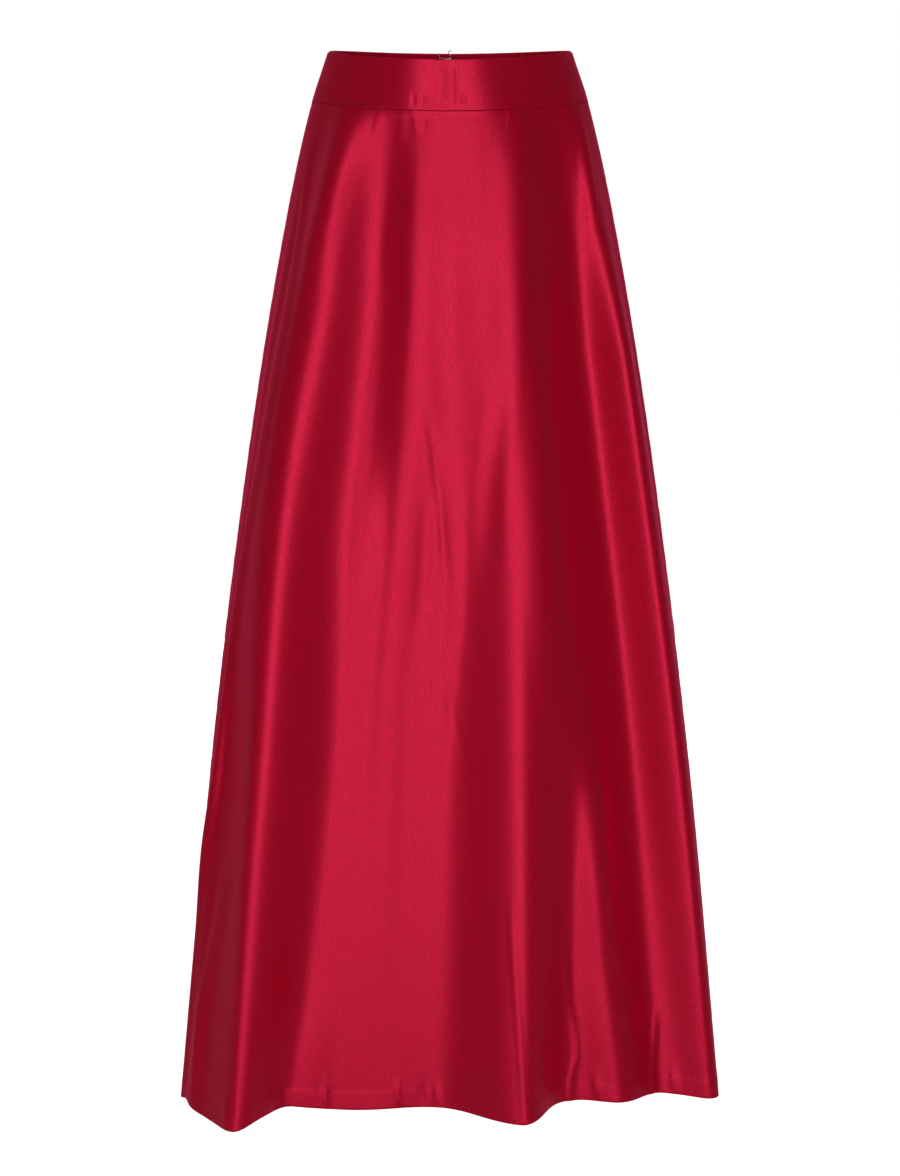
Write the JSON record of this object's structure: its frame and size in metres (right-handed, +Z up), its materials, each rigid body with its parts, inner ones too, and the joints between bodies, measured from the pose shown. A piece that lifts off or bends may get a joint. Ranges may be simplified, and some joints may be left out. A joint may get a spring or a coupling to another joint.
{
  "type": "maxi skirt",
  "caption": "Floor-length flared satin skirt with a shaped waistband, a concealed zip and a hook and eye at the centre back, in worn shape and hollow.",
  "frame": {"origin": "centre of the waist opening, level with the top of the waistband at the side seams", "axes": "+Z up along the body, front facing -Y, +X towards the wearer's left; the skirt hangs below the origin"},
  "size_m": [0.5682, 0.38, 1.0966],
  "materials": {
    "satin": "red satin, smooth and softly shining",
    "tape": "matt red woven tape",
    "zip_enamel": "smooth red enamel",
    "steel": "bright nickelled wire"
  },
  "bodies": {
    "skirt": {"waistband_front": "satin", "waistband_back_left": "satin", "waistband_back_right": "satin", "skirt_front": "satin", "skirt_back_left": "satin", "skirt_back_right": "satin", "zip_tape_left": "tape", "zip_tape_right": "tape", "zip_slider": "zip_enamel", "zip_bottom_stop": "steel", "hook": "steel", "eye": "steel"},
    "pull_tab": {"zip_pull_tab": "zip_enamel"}
  },
  "joints": [
    {"name": "pull_tab_hinge", "type": "hinge", "parent": "skirt", "child": "pull_tab", "pos_m": [0, 0.09698, -0.02382], "axis": [1, 0, 0], "range_deg": [0, 165]}
  ]
}
